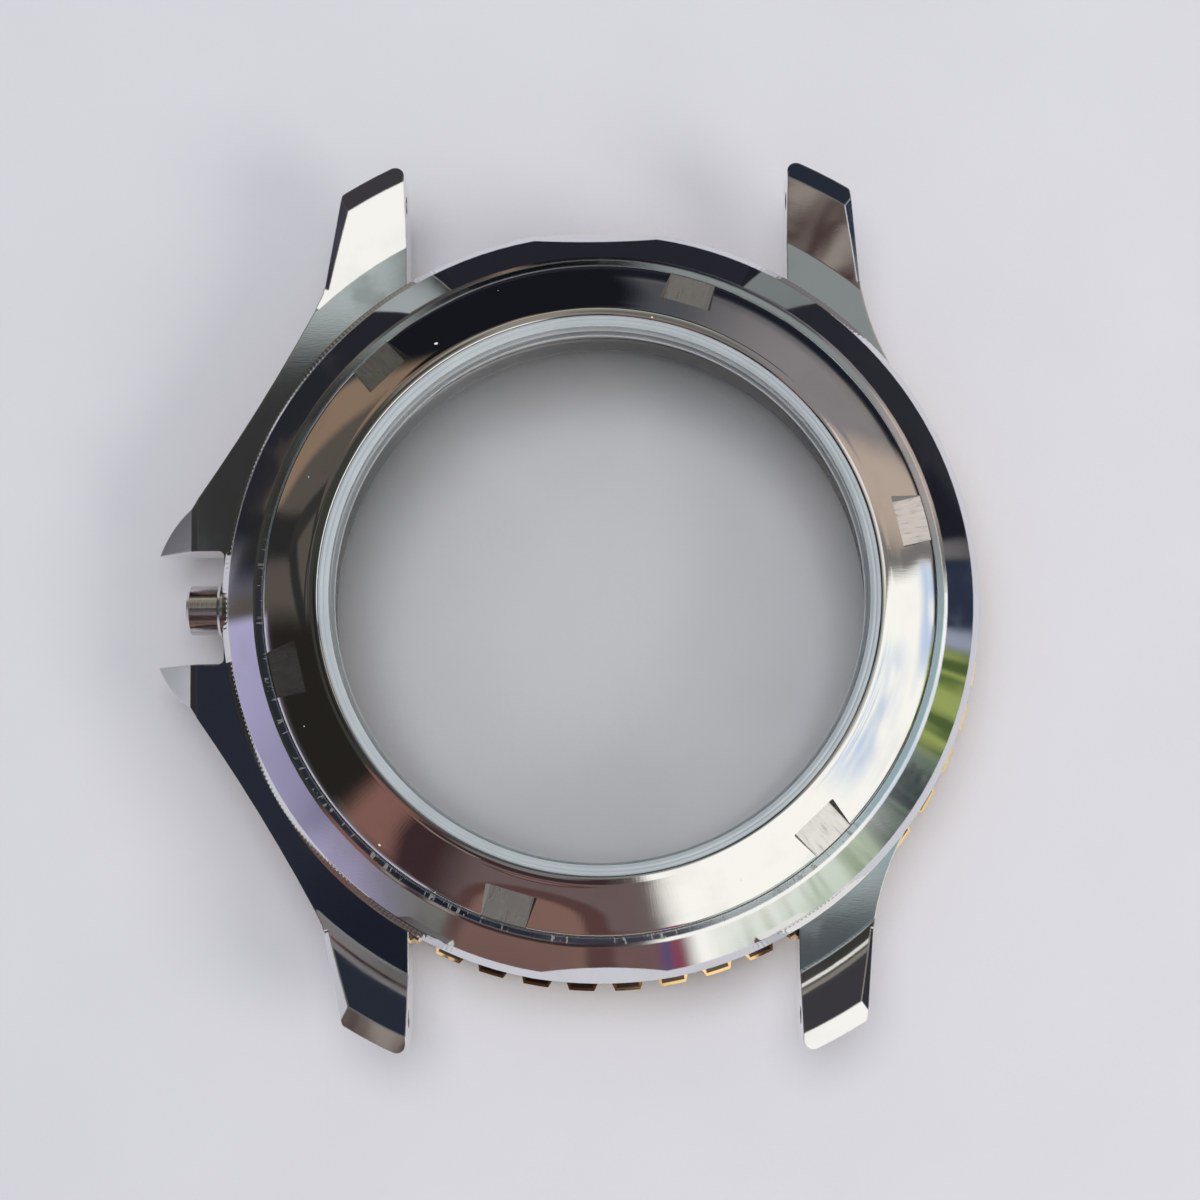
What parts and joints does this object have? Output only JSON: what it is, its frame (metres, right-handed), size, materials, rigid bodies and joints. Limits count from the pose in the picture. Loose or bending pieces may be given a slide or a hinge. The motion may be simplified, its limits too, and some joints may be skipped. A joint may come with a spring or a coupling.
{
  "type": "empty watch case",
  "caption": "Round divers' watch case with four lugs, crown guards, crown tube, one-way turning bezel and screw-down glazed back; it holds no movement.",
  "frame": {"origin": "centre of the front crystal's outer face, on which the case lies", "axes": "+Z out of the case back, +Y towards the lugs at twelve, the crown tube points to -X"},
  "size_m": [0.0434, 0.0458, 0.0125],
  "materials": {
    "steel": "mirror polished stainless steel",
    "back_steel": "polished stainless steel with milled notch floors",
    "tube_steel": "turned stainless steel",
    "bezel_gold": "gold plated, polished",
    "insert_black": "black anodised with a printed minute scale",
    "lume": "luminous paste",
    "adhesive": "double-sided film",
    "spring_steel": "drawn spring steel",
    "clear_glass": "clear mineral glass",
    "nylon": "translucent pale nylon",
    "black_rubber": "matte",
    "chapter_steel": "satin steel"
  },
  "bodies": {
    "case": {"mid_case": "steel", "crown_tube": "tube_steel", "crown_tube_seal": "black_rubber", "front_crystal": "clear_glass", "crystal_gasket": "nylon", "chapter_ring": "chapter_steel", "bezel_snap_wire": "spring_steel", "bezel_dust_gasket": "black_rubber", "bezel_click_spring": "spring_steel", "click_spring_pins": "spring_steel"},
    "bezel": {"bezel_ring": "bezel_gold", "bezel_insert": "insert_black", "insert_adhesive": "adhesive", "bezel_pip": "lume"},
    "back_seal": {"case_back_seal": "black_rubber"},
    "back": {"case_back_ring": "back_steel", "back_window": "clear_glass", "window_gasket": "nylon"}
  },
  "joints": [
    {"name": "bezel_turn", "type": "hinge", "parent": "case", "child": "bezel", "pos_m": [0, 0, 0.0021], "axis": [0, 0, 1], "continuous": true},
    {"name": "back_lift", "type": "slide", "parent": "case", "child": "back_seal", "axis": [0, 0, 1], "range_m": [0, 0.0015]},
    {"name": "back_turn", "type": "hinge", "parent": "back_seal", "child": "back", "pos_m": [0, 0, 0.00925], "axis": [0, 0, 1], "range_deg": [0, 1080]}
  ],
  "couplings": [
    {"joint": "back_lift", "follows": "back_turn", "m_per_rad": 0.000079577}
  ]
}
